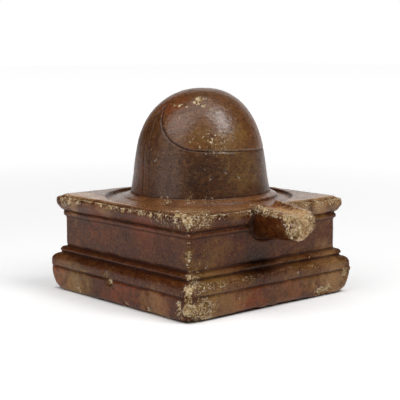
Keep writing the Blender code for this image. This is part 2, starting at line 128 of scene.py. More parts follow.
# Breaks: x, y, z, radius and depth
CHIPS = (
    (-51.5, -40.4, 54.5, 3.2, 0.5), (-54.8, -46.6, 54.5, 3.6, 0.6), (-55.0, -50.7, 54.3, 3.4, 0.7),
    (-57.0, -56.0, 53.3, 4.2, 1.5), (-56.2, -57.4, 51.4, 3.2, 1.1), (-57.6, -54.5, 51.7, 3.2, 0.9),
    (-54.4, -56.8, 53.6, 3.4, 0.9), (-53.6, -57.3, 50.6, 2.6, 0.6), (-55.9, -55.5, 48.1, 2.6, 1.0),
    (-53.6, -52.8, 40.5, 2.2, 0.5), (-53.6, -52.2, 35.8, 2.4, 0.5), (-53.6, -52.6, 31.6, 2.8, 0.8),
    (-53.6, -52.8, 27.3, 2.2, 0.5), (-60.3, -57.4, 17.3, 3.2, 1.0), (-58.9, -58.9, 18.6, 4.4, 1.6),
    (-57.3, -60.0, 17.8, 3.2, 1.0), (-54.6, -59.9, 18.4, 2.8, 0.8), (-58.8, -58.7, 12.6, 3.4, 1.2),
    (-60.1, -57.1, 10.4, 3.2, 0.8), (-58.5, -59.8, 9.0, 4.2, 1.0), (-54.6, -59.9, 8.2, 3.6, 0.7),
    (-58.9, -58.8, 5.4, 4.2, 1.3), (-51.9, -59.9, 6.3, 3.4, 0.6), (-49.3, -59.9, 8.9, 2.6, 0.5),
    (-59.9, -53.4, 11.0, 1.1, 0.5), (-59.9, -53.4, 9.4, 1.1, 0.5), (-59.9, -53.4, 7.4, 1.2, 0.5),
    (-60.3, 7.9, 16.0, 2.4, 0.6), (-59.9, 4.6, 11.8, 2.6, 0.8), (-59.6, -9.3, 2.0, 2.4, 0.7),
    (-59.8, -28.2, 2.4, 2.6, 0.7), (-59.9, -28.8, 11.4, 1.4, 0.5), (-57.6, 51.7, 51.3, 2.4, 0.6),
    (-57.4, 44.5, 50.6, 2.2, 0.5), (-57.6, 36.5, 51.2, 2.2, 0.5), (-57.0, 14.6, 53.2, 1.8, 0.6),
    (-57.7, 6.3, 51.8, 1.8, 0.5), (-57.5, -4.4, 51.9, 1.8, 0.5), (-57.5, -17.9, 51.9, 1.6, 0.5),
    (-57.6, -27.8, 52.0, 1.6, 0.5), (-57.5, -34.6, 52.2, 1.8, 0.5), (-47.4, -57.3, 52.7, 2.0, 0.5),
    (-35.9, -57.1, 53.2, 1.8, 0.4), (-23.4, -57.3, 52.8, 2.0, 0.5), (32.9, -59.9, 4.0, 3.0, 0.6),
    (37.8, -59.9, 3.4, 3.2, 0.8), (42.7, -59.9, 3.8, 3.0, 0.6), (56.7, -59.9, 11.5, 2.4, 0.4),
    (55.0, -59.9, 9.3, 2.2, 0.5), (58.9, -58.6, 13.1, 2.4, 0.3), (31.5, -56.4, 22.8, 1.3, 0.4),
    (-15.2, -14.0, 106.9, 1.3, 0.35), (-12.9, -13.5, 108.3, 1.4, 0.4), (-11.7, -15.6, 107.6, 1.6, 0.4),
    (-9.8, -16.3, 108.4, 1.2, 0.35), (-13.9, -16.3, 106.1, 1.3, 0.35), (-13.2, -18.8, 105.0, 1.2, 0.35),
    (-34.1, -6.5, 78.9, 0.9, 0.3), (-34.7, -4.7, 75.6, 1.0, 0.3), (-34.2, -5.4, 77.2, 0.9, 0.3),
    (-18.8, -31.5, 68.0, 1.0, 0.4), (-4.4, -37.1, 67.6, 0.8, 0.3), (-11.7, -34.8, 71.7, 1.3, 0.3),
    (-8.8, -60.2, 54.6, 2.4, 0.7), (-10.1, -66.0, 53.9, 2.4, 0.7), (-10.1, -70.7, 53.5, 2.6, 0.8),
    (-10.2, -75.7, 52.7, 2.8, 1.0), (-7.8, -79.3, 50.0, 3.0, 1.1), (-1.4, -79.9, 46.2, 3.0, 0.7),
    (-4.3, -79.8, 42.2, 2.8, 0.9), (3.0, -79.9, 43.9, 2.6, 0.7), (6.0, -79.9, 47.5, 2.4, 0.6),
    (0.8, -79.8, 49.8, 2.4, 0.7), (8.6, -78.4, 51.8, 2.2, 0.7),
)

# Small places where the pale stone shows, and painted glints on the basin by the dome's foot: x, y, z,
# radius and strength
PALE_SPOTS_AND_GLINTS = (
    (-15.2, -14.0, 106.9, 1.6, 0.9), (-12.9, -13.5, 108.3, 1.6, 1.0), (-11.7, -15.6, 107.6, 2.0, 1.0),
    (-9.8, -16.3, 108.4, 1.5, 0.9), (-13.9, -16.3, 106.1, 1.7, 0.9), (-13.2, -18.8, 105.0, 1.5, 0.9),
    (-15.3, -15.6, 105.6, 1.3, 0.8), (-21.6, -5.2, 104.6, 1.0, 0.8), (-20.9, -7.7, 104.9, 0.9, 0.9),
    (-19.8, -9.0, 105.3, 1.0, 0.9), (-19.3, -12.9, 104.3, 0.9, 0.7), (-11.1, -22.1, 103.3, 0.9, 0.8),
    (-24.3, -12.6, 98.9, 0.9, 0.6), (-21.0, -19.8, 97.4, 0.9, 0.5), (-4.2, -16.6, 109.8, 1.0, 0.5),
    (-21.6, -29.0, 72.6, 0.8, 0.7), (-7.9, -35.8, 72.9, 0.7, 0.6), (-4.4, -37.1, 67.6, 0.9, 0.6),
    (-34.1, -6.5, 78.9, 0.9, 0.8), (-34.7, -4.7, 75.6, 0.9, 0.9), (-34.2, -5.4, 77.2, 1.0, 0.9),
    (-34.6, -6.3, 74.1, 0.8, 0.6), (-33.9, -0.8, 81.2, 0.8, 0.6), (-34.0, 1.7, 80.2, 0.8, 0.6),
    (-35.3, -11.6, 57.2, 1.0, 0.9), (-34.2, -14.9, 57.6, 1.0, 0.8), (-18.5, -28.4, 87.1, 0.9, 1.0),
    (-17.2, -29.4, 86.6, 0.8, 1.0), (-25.5, -22.0, 86.4, 0.8, 0.9), (-24.0, -22.8, 88.5, 0.8, 0.8),
    (-22.2, -26.3, 84.1, 1.0, 0.7), (-22.4, -24.2, 89.0, 0.8, 0.7), (-20.1, -26.3, 89.0, 0.9, 0.8),
    # (-40, -13.8), (-38.5, -17.8), (-36, -19.4) and (-35.7, -11.6): painted glints on the basin by the
    # dome's foot
    (-15.9, -29.6, 88.4, 0.9, 0.7), (-40.0, -13.8, 55.5, 1.0, 0.9), (-38.5, -17.8, 55.4, 1.2, 0.9),
    (-36.0, -19.4, 55.8, 1.0, 0.7), (-35.7, -11.6, 56.5, 1.0, 0.7), (31.5, -56.4, 22.8, 1.2, 0.9),
    (18.3, -60.2, 16.3, 1.0, 0.7), (-42.2, -53.5, 25.9, 0.9, 0.8), (-45.6, -53.5, 33.0, 0.7, 0.7),
    (-51.5, -40.4, 54.5, 3.4, 0.9), (-54.8, -46.6, 54.5, 3.4, 1.0), (-55.0, -50.7, 54.3, 3.2, 0.9),
    (-57.0, -56.0, 52.3, 4.4, 0.9), (-55.9, -55.5, 48.6, 2.6, 0.8), (-53.6, -52.6, 38.6, 2.4, 0.35),
    (-53.6, -52.6, 31.6, 2.4, 0.7), (-53.6, -52.6, 27.3, 2.0, 0.35), (-58.9, -58.9, 17.8, 4.4, 0.9),
    (-58.8, -58.7, 12.4, 3.0, 0.7), (-58.5, -59.0, 7.0, 6.0, 0.85), (-52.5, -59.9, 7.2, 4.4, 0.8),
    (-59.9, -53.4, 9.4, 2.0, 0.9), (-59.9, -53.4, 7.4, 1.4, 0.9), (-59.9, 4.6, 11.8, 2.6, 0.7),
    (-60.3, 7.9, 16.0, 2.2, 0.6), (-59.6, -9.3, 2.0, 2.6, 0.7), (-59.8, -28.2, 2.4, 2.8, 0.7),
    (-57.6, 51.7, 51.3, 3.0, 0.8), (-57.4, 44.5, 50.6, 3.0, 0.8), (-57.6, 36.5, 51.2, 2.6, 0.8),
    (36.0, -59.9, 3.8, 4.2, 0.7), (43.0, -59.9, 4.0, 3.4, 0.6), (56.7, -59.9, 11.0, 3.0, 0.7),
    (-9.4, -62.0, 54.5, 4.5, 0.7), (-9.8, -70.0, 53.6, 5.0, 0.8), (-8.6, -78.0, 51.5, 5.0, 0.9),
    (-1.0, -79.9, 46.0, 5.5, 0.62), (6.0, -79.0, 49.0, 4.4, 0.62), (9.6, -72.0, 53.5, 1.6, 0.5),
    (10.4, -56.0, 54.5, 1.3, 0.8), (10.4, -58.6, 54.5, 1.4, 0.8), (10.6, -61.2, 54.3, 1.4, 0.85),
    (10.6, -63.8, 54.1, 1.4, 0.85), (10.6, -66.4, 53.9, 1.4, 0.9), (10.4, -69.0, 53.6, 1.4, 0.9),
    (10.4, -71.6, 53.3, 1.4, 0.9), (10.2, -74.2, 52.9, 1.5, 0.9), (9.6, -76.8, 52.3, 1.6, 0.9),
    (8.6, -78.6, 51.5, 2.6, 0.8), (18.0, -57.6, 53.2, 5.0, 0.5), (28.0, -57.6, 53.2, 6.0, 0.5),
    (38.0, -57.6, 53.2, 6.0, 0.5), (48.0, -57.6, 53.2, 6.0, 0.5), (56.5, -56.5, 53.0, 4.0, 0.55),
    (-57.0, 14.6, 53.0, 1.5, 0.9), (-57.7, 6.3, 51.9, 1.7, 1.0), (-57.5, -0.5, 51.9, 1.3, 0.9),
    (-57.5, -4.4, 51.9, 1.7, 1.0), (-57.5, -11.0, 51.9, 1.3, 0.9), (-57.5, -17.9, 51.9, 1.6, 1.0),
    (-57.5, -23.0, 52.0, 1.4, 0.9), (-57.6, -27.8, 52.0, 1.7, 1.0), (-57.5, -34.6, 52.2, 1.9, 1.0),
    (-53.6, -53.2, 39.0, 2.8, 0.5), (-53.6, -53.2, 34.0, 2.8, 0.5), (-53.6, -53.2, 28.6, 2.8, 0.5),
    (-50.0, -59.9, 5.0, 12.0, 0.48), (-58.0, -54.0, 5.0, 6.0, 0.45), (-52.0, -55.0, 53.0, 10.0, 0.5),
    (-56.0, -48.0, 52.5, 9.0, 0.5), (-42.0, -48.0, 54.4, 12.0, 0.42), (-52.0, -58.0, 18.0, 8.0, 0.5),
    (-44.0, -57.5, 52.5, 9.0, 0.45), (-57.5, -36.0, 52.5, 9.0, 0.45), (-57.5, 48.0, 52.0, 9.0, 0.45),
    (-59.8, 34.0, 3.0, 3.4, 0.6), (-59.9, 36.0, 8.0, 4.0, 0.45), (-44.0, -60.0, 17.6, 3.4, 0.5),
    (-37.0, -60.0, 17.4, 2.6, 0.45), (-45.0, -57.6, 52.6, 3.4, 0.6), (-34.0, -57.6, 52.6, 3.2, 0.55),
    # (-38, -16), (-30, -27) and (-22, -33): painted glints on the basin by the dome's foot
    (-12.3, -15.0, 107.6, 4.2, 0.6), (-15.0, -30.0, 86.5, 11.0, 0.32), (-38.0, -16.0, 55.5, 6.0, 0.42),
    (-30.0, -27.0, 55.8, 6.0, 0.38), (-22.0, -33.0, 55.8, 6.0, 0.34), (2.0, -66.0, 52.0, 8.0, 0.36),
    (2.0, -74.0, 50.5, 8.0, 0.46),
)

# Broad changes of colour, some of them painted light and shade as marked: x, y, z, radius and strength
TINTS = {
    "ochre": (
        (0.4, -37.2, 70.6, 17.0, 0.7), (-10.6, -33.3, 85.6, 10.0, 0.9), (-0.9, -34.5, 88.3, 9.0, 0.8),
        (-60.1, 38.0, 9.0, 11.0, 1.3), (-60.1, 29.5, 6.4, 11.0, 1.3), (-60.3, 7.9, 15.0, 3.5, 0.8),
        (-59.9, 4.6, 11.0, 4.5, 0.8), (-59.8, -30.0, 3.0, 12.0, 0.5), (38.0, -59.9, 5.5, 11.0, 0.8),
        (-36.1, -53.5, 33.9, 12.0, 0.5), (24.0, -60.0, 17.0, 16.0, 0.5), (48.0, -60.0, 17.0, 14.0, 0.6),
        (0.0, -79.0, 46.0, 12.0, 1.0), (-19.3, -23.0, 90.0, 9.0, 0.5),
        (-44.0, -60.2, 17.8, 14.0, 0.9), (-24.0, -60.2, 17.8, 12.0, 0.6),
        (-48.0, -60.2, 7.0, 14.0, 0.9),
        (-53.7, -53.7, 36.0, 4.6, 0.9), (-53.7, -53.7, 29.0, 4.6, 0.9), (38.0, -57.0, 53.0, 20.0, 0.7),
        (-30.0, -60.2, 8.0, 11.0, 0.35), (50.0, -60.2, 8.0, 12.0, 0.6), (-48.0, -56.0, 51.5, 12.0, 0.5),
    ),
    "russet": (
        (-60.1, -4.9, 8.5, 22.0, 0.9), (-60.1, 52.0, 11.5, 15.0, 1.0), (-17.3, -59.9, 6.6, 20.0, 0.8),
        (-60.1, -34.0, 5.0, 18.0, 0.7), (12.4, -59.9, 7.5, 16.0, 0.6), (-21.3, -0.6, 105.5, 12.0, 0.9),
        (-53.7, 20.0, 42.0, 14.0, 0.5), (-53.7, -20.1, 41.0, 16.0, 0.6), (27.0, -24.0, 66.0, 15.0, 0.8),
        (25.0, -22.0, 88.0, 15.0, 0.8), (-32.0, 8.0, 64.0, 13.0, 0.7), (5.0, -56.0, 53.5, 6.0, 0.6),
    ),
    "dark": (
        (-27.0, -29.0, 64.0, 9.0, 0.5), (-21.6, -29.6, 66.0, 17.0, 0.9),
        (-8.0, -53.8, 24.5, 12.0, 1.0), (-15.2, -57.6, 20.0, 11.0, 0.7),
        # (-4, -60), (-10, -57) and (-4, -70): painted shade on the neck under the spout and on the
        # spout's underside
        (-4.0, -60.0, 38.0, 9.0, 0.8), (-10.0, -57.0, 44.0, 6.0, 0.9), (-4.0, -70.0, 38.0, 9.0, 0.7),
        (-60.1, 6.0, 13.0, 8.0, 0.6), (-56.0, 20.0, 24.0, 10.0, 0.25), (-37.5, 8.0, 66.0, 13.0, 0.5),
        # (-41, -8) and (-37, -20): painted shade where the dome meets the basin
        (-41.0, -8.0, 55.0, 7.0, 0.6), (-37.0, -20.0, 55.4, 7.0, 0.6), (-60.4, 34.0, 16.0, 9.0, 0.4),
    ),
    "light": (
        (1.0, -79.6, 46.5, 10.0, 0.9),
        # (0, -60), (0, -68) and (0, -76), in the spout's channel: lighter worn stone with painted light
        # from above
        (0.0, -60.0, 52.5, 9.0, 1.0), (0.0, -68.0, 51.5, 10.0, 1.3), (0.0, -76.0, 50.0, 10.0, 1.4),
        (-36.0, -59.8, 5.0, 18.0, 0.18), (10.0, -59.8, 6.0, 22.0, 0.12), (46.0, -59.8, 6.0, 18.0, 0.34),
        # (-50, 44), (-50, 26), (-53, 10), (-45, -45) and (50, -52), on the seat's top: painted light
        (-59.8, 44.0, 8.0, 20.0, 0.16), (-59.8, -36.0, 4.0, 13.0, 0.2), (-50.0, 44.0, 54.4, 13.0, 0.8),
        (-50.0, 26.0, 54.4, 9.0, 0.7), (-53.0, 10.0, 54.4, 12.0, 0.3), (-45.0, -45.0, 54.4, 12.0, 0.5),
        (44.0, -57.0, 18.0, 14.0, 0.25), (-36.0, -57.0, 18.0, 12.0, 0.12),
        (50.0, -52.0, 54.0, 12.0, 0.4),
        (24.0, -57.0, 53.4, 9.0, 0.4), (40.0, -57.0, 53.4, 10.0, 0.5), (-24.0, -57.0, 53.4, 8.0, 0.25),
    ),
}

EVEN_MESH = 0.55
BOX_GAP = 0.01
MOST_TRIANGLES = 190000

# Colours of the stone as they look on screen, from 0 to 255. The top's brown is painted light, and the
# crease colour is dirt with painted shade.
SEAT_BROWNS = ((68, 29, 10), (86, 41, 14))
# Painted light: the upward faces are coloured lighter, as if lit from above
LIT_TOP_BROWN = (148, 102, 66)
DRUM_BROWN = (80, 42, 4)
DOME_BROWN = (106, 62, 22)
RUSSET = (140, 62, 24)
OCHRE = (144, 108, 46)
LIGHT_BROWN = (212, 164, 110)
DARK_BROWN = (40, 20, 5)
FINE_GOLD, FINE_SHADE = (130, 82, 28), (42, 18, 5)
GRAIN_SHADE = (32, 13, 3)
FLECK_GOLD, FLECK_SHADE = (148, 100, 44), (28, 11, 3)
STREAK_GOLD, STREAK_SHADE = (126, 84, 38), (34, 16, 4)
# Dirt and painted shade in the creases, and the painted contact shadow along the foot
CREASE_DIRT_AND_SHADE = (42, 13, 4)
BARE_STONE = ((150, 114, 64), (204, 178, 134))
BARE_WHITE, BARE_SHADE, BARE_PIT = (242, 234, 216), (116, 84, 42), (70, 44, 20)

# Softboxes: name, azimuth and elevation in degrees, distance, width, height, radiance
SOFTBOXES = (
    ("left_softbox", -97, 48, 1.6, 1.2, 1.1, 2.2),
    ("left_panel", -96, 5, 1.6, 1.3, 1.0, 0.9),
    ("right_softbox", 18, 50, 1.5, 0.6, 0.85, 7.3),
    ("top_softbox", 0, 86, 1.6, 1.2, 1.2, 1.4),
)
AIM_HEIGHT = 0.06
TO_CAMERA = (-0.661, -0.751, 0.0)
TENT_BACK = (0.766, 0.643, 0.0)
TENT_RANGE = {"From Min": 0.78, "From Max": 0.92, "To Min": 0.03, "To Max": 1.0}


# ---- handling pieces

def put_down_all():
    if bpy.context.mode != "OBJECT":
        bpy.ops.object.mode_set(mode="OBJECT")
    bpy.ops.object.select_all(action="DESELECT")


def pick_up(piece):
    """Make one piece the only one that operators act on."""
    put_down_all()
    piece.select_set(True)
    bpy.context.view_layer.objects.active = piece


def finish_with(piece, name, kind, **settings):
    """Add a modifier to a piece and apply it."""
    pick_up(piece)
    modifier = piece.modifiers.new(name, kind)
    for setting, value in settings.items():
        setattr(modifier, setting, value)
    bpy.ops.object.modifier_apply(modifier=modifier.name)


# ---- carving: the piece's vertices as arrays, in millimetres

def smooth_step(value, low, high):
    """0 below low, 1 above high and a soft step between them."""
    share = np.clip((value - low) / (high - low), 0.0, 1.0)
    return share * share * (3.0 - 2.0 * share)


def within(values, rise, fall):
    """0 outside, 1 inside, with a soft step up over rise and down over fall."""
    return smooth_step(values, *rise) * (1.0 - smooth_step(values, *fall))


def lattice_values(cells, seed):
    """A fixed random number from -1 to 1 for each whole-number place."""
    x, y, z = (cells[:, i].astype(np.uint64) for i in range(3))
    mixed = x * np.uint64(73856093) ^ y * np.uint64(19349663) ^ z * np.uint64(83492791)
    mixed = (mixed + np.uint64(seed * 668265263)) & np.uint64(0xFFFFFFFF)
    mixed = (mixed ^ (mixed >> np.uint64(15))) * np.uint64(2246822519) & np.uint64(0xFFFFFFFF)
    mixed = (mixed ^ (mixed >> np.uint64(13))) * np.uint64(3266489917) & np.uint64(0xFFFFFFFF)
    mixed = mixed ^ (mixed >> np.uint64(16))
    return mixed.astype(np.float64) / 0x7FFFFFFF - 1.0


def uneven(points, size, seed):
    """Smooth random values from -1 to 1 that change over about size millimetres."""
    turned = points @ TURN.T / size + 1000.0 + seed * 7.31
    cells = np.floor(turned).astype(np.int64)
    share = turned - cells
    share = share * share * (3.0 - 2.0 * share)
    total = np.zeros(len(points))
    for corner in itertools.product((0, 1), repeat=3):
        weight = np.ones(len(points))
        for axis in range(3):
            weight *= share[:, axis] if corner[axis] else 1.0 - share[:, axis]
        total += weight * lattice_values(cells + np.array(corner), seed)
    return total


TURN = np.array(Matrix.Rotation(0.7, 3, Vector((1, 2, 3)).normalized()))


class Carving:
    """The vertices of one stone while it is being worked, in millimetres."""

    def __init__(self, piece):
        self.piece = piece
        self.read()

    def read(self):
        mesh = self.piece.data
        count = len(mesh.vertices)
        flat = np.empty(count * 3, np.float32)
        mesh.vertices.foreach_get("co", flat)
        self.points = flat.reshape(-1, 3).astype(np.float64) / MM
        edges = np.empty(len(mesh.edges) * 2, np.int32)
        mesh.edges.foreach_get("vertices", edges)
        self.edges = edges.reshape(-1, 2)
        self.degree = np.bincount(self.edges.ravel(), minlength=count)

    def write(self):
        mesh = self.piece.data
        mesh.vertices.foreach_set("co", (self.points * MM).astype(np.float32).ravel())
        mesh.update()

    def normals(self):
        self.write()
        flat = np.empty(len(self.points) * 3, np.float32)
        self.piece.data.vertex_normals.foreach_get("vector", flat)
        return flat.reshape(-1, 3).astype(np.float64)

    def blurred(self, values, rounds):
        """Values averaged with their neighbours' along the edges, again and again."""
        a, b = self.edges[:, 0], self.edges[:, 1]
        result = values.astype(np.float64).copy()
        columns = result.reshape(len(result), -1)
        for _ in range(rounds):
            for i in range(columns.shape[1]):
                column = columns[:, i]
                total = np.bincount(a, column[b], len(column)) + np.bincount(b, column[a], len(column))
                columns[:, i] = 0.5 * column + 0.5 * total / np.maximum(self.degree, 1)
        return columns.reshape(values.shape)

    def keep(self, name, values):
        """Keep a value at every vertex for the material to read."""
        layer = self.piece.data.attributes.get(name)
        if layer is None:
            layer = self.piece.data.attributes.new(name, "FLOAT", "POINT")
        layer.data.foreach_set("value", values.astype(np.float32))


# ---- where a point is on the lingam

LEAN = np.array(Matrix.Rotation(LINGAM_LEAN_Y, 3, "Y") @ Matrix.Rotation(LINGAM_LEAN_X, 3, "X"))


def crown_drift(height):
    """How far the lingam's middle has drifted off its upright at each height."""
    share = np.clip((height - DRUM_TOP_Z) / DOME_HEIGHT, 0.0, 1.0)
    return np.outer(share ** CROWN_DRIFT_CURVE, (*CROWN_DRIFT, 0.0))


def on_lingam(points):
    """Places in the lingam's own frame, as if its crown were over its foot."""
    places = (points - np.array(LINGAM_SHIFT)) @ LEAN
    return places - crown_drift(places[:, 2])


def off_lingam(places):
    """Places in the lingam's own frame, brought back to where it stands."""
    return (places + crown_drift(places[:, 2])) @ LEAN.T + np.array(LINGAM_SHIFT)


def drum_and_dome(places):
    """Each place moved straight onto the drum's or dome's true surface."""
    result = places.copy()
    radius = np.maximum(np.hypot(places[:, 0], places[:, 1]), 1e-3)
    height = places[:, 2]
    flare = np.clip(1.0 - (height - DRUM_FOOT_Z) / DRUM_FLARE_HEIGHT, 0.0, 1.0) ** DRUM_FLARE_CURVE
    rise = np.clip((height - DRUM_TOP_Z) / DOME_HEIGHT, 0.0, None)
    round_off = np.clip(1.0 - rise ** DOME_FULLNESS, 0.0, 1.0) ** (1.0 / DOME_FULLNESS)
    level = (DRUM_RADIUS * round_off + DRUM_FLARE * flare) / radius
    reach = (radius / DRUM_RADIUS) ** DOME_FULLNESS + rise ** DOME_FULLNESS
    shrink = 1.0 / np.maximum(reach, 1e-6) ** (1.0 / DOME_FULLNESS)
    crown = height > DRUM_FOOT_Z + 1.3 * DRUM_FLARE_HEIGHT
    result[:, 0] = places[:, 0] * np.where(crown, shrink, level)
    result[:, 1] = places[:, 1] * np.where(crown, shrink, level)
    result[:, 2] = np.where(crown, DRUM_TOP_Z + (height - DRUM_TOP_Z) * shrink, height)
    return result


def line_angle(places):
    """Angle round the lingam from the side that the cut lines face."""
    turn = np.arctan2(places[:, 1], places[:, 0]) - math.pi - LINE_FACING
    return (turn + math.pi) % (2 * math.pi) - math.pi


def band_height(angle):
    """Height of the long line at each angle, with its pointed rise in front."""
    share = np.clip(1.0 - np.abs(angle) / BAND_SPREAD, 0.0, None)
    back = 0.5 * (1.0 - np.cos(angle))
    return DRUM_FOOT_Z + BAND_HEIGHT - BAND_BACK_DROP * back + BAND_RISE * share ** BAND_CURVE


def band_distance(places):
    """Distance from each place to the long line, measured across it."""
    angle = line_angle(places)
    radius = np.hypot(places[:, 0], places[:, 1])
    step = 0.01
    slope = (band_height(angle + step) - band_height(angle - step)) / (2 * step)
    slope = slope / np.maximum(radius, 5.0)
    return (places[:, 2] - band_height(angle)) / np.hypot(1.0, slope)


def stem_distance(places, side):
    """Distance round the lingam to one of the two upright lines, far where it ends."""
    angle = line_angle(places)
    radius = np.hypot(places[:, 0], places[:, 1])
    rise = places[:, 2] - DRUM_FOOT_Z
    share = (rise - STEM_FOOT) / (STEM_TOP - STEM_FOOT)
    above = np.clip((rise - STEM_SHOULDER) / (STEM_TOP - STEM_SHOULDER), 0.0, 1.0)
    spacing = STEM_SPACING + (STEM_TOP_SPACING - STEM_SPACING) * above ** 1.5
    line = side * np.arcsin(np.clip(0.5 * spacing / np.maximum(radius, 5.0), -1, 1))
    line += STEM_TURN + STEM_SKEW * (0.5 - share)
    distance = np.abs(angle - line) * radius
    beyond = np.maximum(STEM_FOOT - rise, 0.0) + np.maximum(rise - STEM_TOP, 0.0)
    return np.hypot(distance, beyond)


# ---- the stone

def even_block():
    """The CAD block with its loose triangles merged, then an even fine mesh."""
    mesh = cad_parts["shiva_lingam"].data.copy()
    mesh.materials.clear()
    stone = bpy.data.objects.new("carved_stone", mesh)
    bpy.context.scene.collection.objects.link(stone)
    pick_up(stone)
    bpy.ops.object.mode_set(mode="EDIT")
    bpy.ops.mesh.select_all(action="SELECT")
    bpy.ops.mesh.remove_doubles(threshold=1e-6)
    bpy.ops.object.mode_set(mode="OBJECT")
    finish_with(stone, "even_mesh", "REMESH", mode="VOXEL", voxel_size=EVEN_MESH * MM)
    return stone


def turn_true(carving):
    """Bring the drum and dome back to a true turned surface, without their facets."""
    places = on_lingam(carving.points)
    true = drum_and_dome(places)
    off = np.linalg.norm(true - places, axis=1)
    part = (places[:, 2] > DRUM_FOOT_Z + 0.8) & (off < 1.2)
    carving.points[part] = off_lingam(true)[part]
    return part


def cut_lines(carving, lingam):
    """Cut the long line and the two upright ones as soft, uneven grooves.

    Gives back where the lingam is above the long line, and where it is grooved.
    """
    places = on_lingam(carving.points)
    normals = carving.normals()
    hand = uneven(carving.points, 6.0, 3)
    angle = line_angle(places)
    across = band_distance(places)
    fading = 1.0 - 0.6 * smooth_step(angle, 1.2, 1.9)
    line = 1.0 - smooth_step(np.abs(across), 0.1, LINE_HALF_WIDTH + 0.1 * hand)
    depth = (LINE_DEPTH + 0.15 * hand) * fading * line
    for side in (-1, 1):
        stem = 1.0 - smooth_step(stem_distance(places, side), 0.1, STEM_HALF_WIDTH)
        depth = np.maximum(depth, (STEM_DEPTH + 0.12 * hand) * stem)
    lip = LINE_LIP * np.exp(-((across + 1.3) / 0.5) ** 2) * smooth_step(angle, 0.7, 1.0)
    carving.points -= normals * ((depth - lip * fading) * lingam)[:, None]
    above_line = smooth_step(band_distance(places), -0.6, 0.6) * lingam
    return above_line, smooth_step(depth, 0.08, 0.3) * lingam


def square_reach(points):
    """How far out a point is towards the nearest side of the seat."""
    return np.maximum(np.abs(points[:, 0]), np.abs(points[:, 1]))


def off_spout(points):
    """1 away from the spout and 0 on it."""
    beside = smooth_step(np.abs(points[:, 0]), SPOUT_HALF - 0.5, SPOUT_HALF + 1.5)
    return np.maximum(beside, smooth_step(points[:, 1], -52.0, -50.0))


def deepen_quirks(carving):
    """Open again the narrow quirks that the even mesh has half filled."""
    p = carving.points
    reach = square_reach(p)
    beside = np.minimum(np.abs(p[:, 0]), np.abs(p[:, 1]))
    clear = np.maximum(off_spout(p), 1.0 - smooth_step(p[:, 2], 33.0, 35.0))
    hand = uneven(p, 9.0, 21)
    ring = np.abs(reach - RIM_QUIRK_MIDDLE - 0.25 * hand)
    on_top = smooth_step(p[:, 2], RIM_TOP_Z - 1.6, RIM_TOP_Z - 0.9)
    down = (RIM_QUIRK_DEEPER + 0.25 * hand) * (1.0 - smooth_step(ring, 0.15, 0.95))
    down = down * on_top * clear
    inward = np.zeros(len(p))
    opened = down.copy()
    for height, mouth, depth, width, left in QUIRKS:
        low = np.abs(p[:, 2] - height - 0.15 * hand)
        on_side = smooth_step(reach, mouth - 2.2, mouth - 1.2)
        corner = smooth_step(beside, mouth - 5.0, mouth - 1.5)
        line = (1.0 - smooth_step(low, 0.2 * width, width)) * on_side * clear
        inward += depth * (1.0 + 0.3 * hand) * line * (1.0 - (1.0 - left) * corner)
        opened = np.maximum(opened, line * (1.0 - (1.0 - left) * corner))
    carving.points[:, 2] -= down
    carving.points[:, :2] *= (1.0 - inward / np.maximum(reach, 1.0))[:, None]
    return opened


def round_the_spout(p):
    """Distance out from the spout's outline across, where it leaves the rim."""
    beside = np.abs(p[:, 0]) - SPOUT_HALF
    below = np.hypot(p[:, 0], p[:, 2] - SPOUT_UNDER_Z) - SPOUT_HALF
    return np.where(p[:, 2] > SPOUT_UNDER_Z, beside, below)


def free_the_spout(carving):
    """Undercut the rim where the spout leaves it, and ease the lips into the top."""
    p = carving.points
    away = np.abs(round_the_spout(p) - 0.7)
    on_face = within(-p[:, 1], (52.5, 54.0), (58.5, 60.0))
    upright = within(p[:, 2], (34.5, 36.5), (52.5, 54.0))
    cut = (1.0 - smooth_step(away, 0.3, 1.5)) * on_face * upright
    carving.points[:, 1] += SPOUT_UNDERCUT * cut
    root = within(-p[:, 1], (46.0, 50.0), (55.0, 59.0))
    root = root * smooth_step(p[:, 2], 53.2, 54.2) * (1.0 - smooth_step(np.abs(p[:, 0]), 13.0, 16.0))
    eased = carving.blurred(carving.points, 25)
    carving.points += (eased - carving.points) * root[:, None]
    return cut


def break_the_end(carving, normals):
    """The spout's end is broken off rough, and so is the crest of its near lip."""
    p = carving.points
    end = smooth_step(-p[:, 1], 76.0, 79.0)
    crest = (1.0 - smooth_step(np.abs(p[:, 0] + 9.6), 2.2, 3.6)) * smooth_step(-p[:, 1], 50.0, 54.0)
    crest = crest * smooth_step(p[:, 2], 49.5, 51.5)
    ragged = 0.5 * uneven(p, 3.4, 61) + 0.35 * uneven(p, 1.7, 62) + 0.2 * uneven(p, 0.9, 63)
    rough = np.maximum(end, 0.7 * crest)
    carving.points += normals * (rough * (END_ROUGHNESS * ragged - 0.1))[:, None]
    return rough


def lean_mouldings(carving):
    """The mouldings aren't quite square over each other: rim one way, foot the other."""
    p = carving.points
    outer = smooth_step(square_reach(p), 50.5, 54.5) * off_spout(p)
    rim = smooth_step(p[:, 2], 43.0, 46.0)
    foot = 1.0 - smooth_step(p[:, 2], 24.0, 27.0)
    slide = (FOOT_SLIDE * foot - RIM_SLIDE * rim) * outer
    carving.points[:, 0] += slide
    carving.points[:, 1] -= slide


def close_the_corner(carving):
    """On the far right corner the quirk over the plinth is worn shallow."""
    p = carving.points
    corner = smooth_step(p[:, 0], 52.0, 57.5) * smooth_step(-p[:, 1], 52.0, 57.5)
    from_quirk = np.abs(p[:, 2] - QUIRKS[0][0])
    near = corner * (1.0 - smooth_step(from_quirk, 0.4, 1.5))
    carving.points[:, 0] += FAR_CORNER_FILL * near
    carving.points[:, 1] -= FAR_CORNER_FILL * near


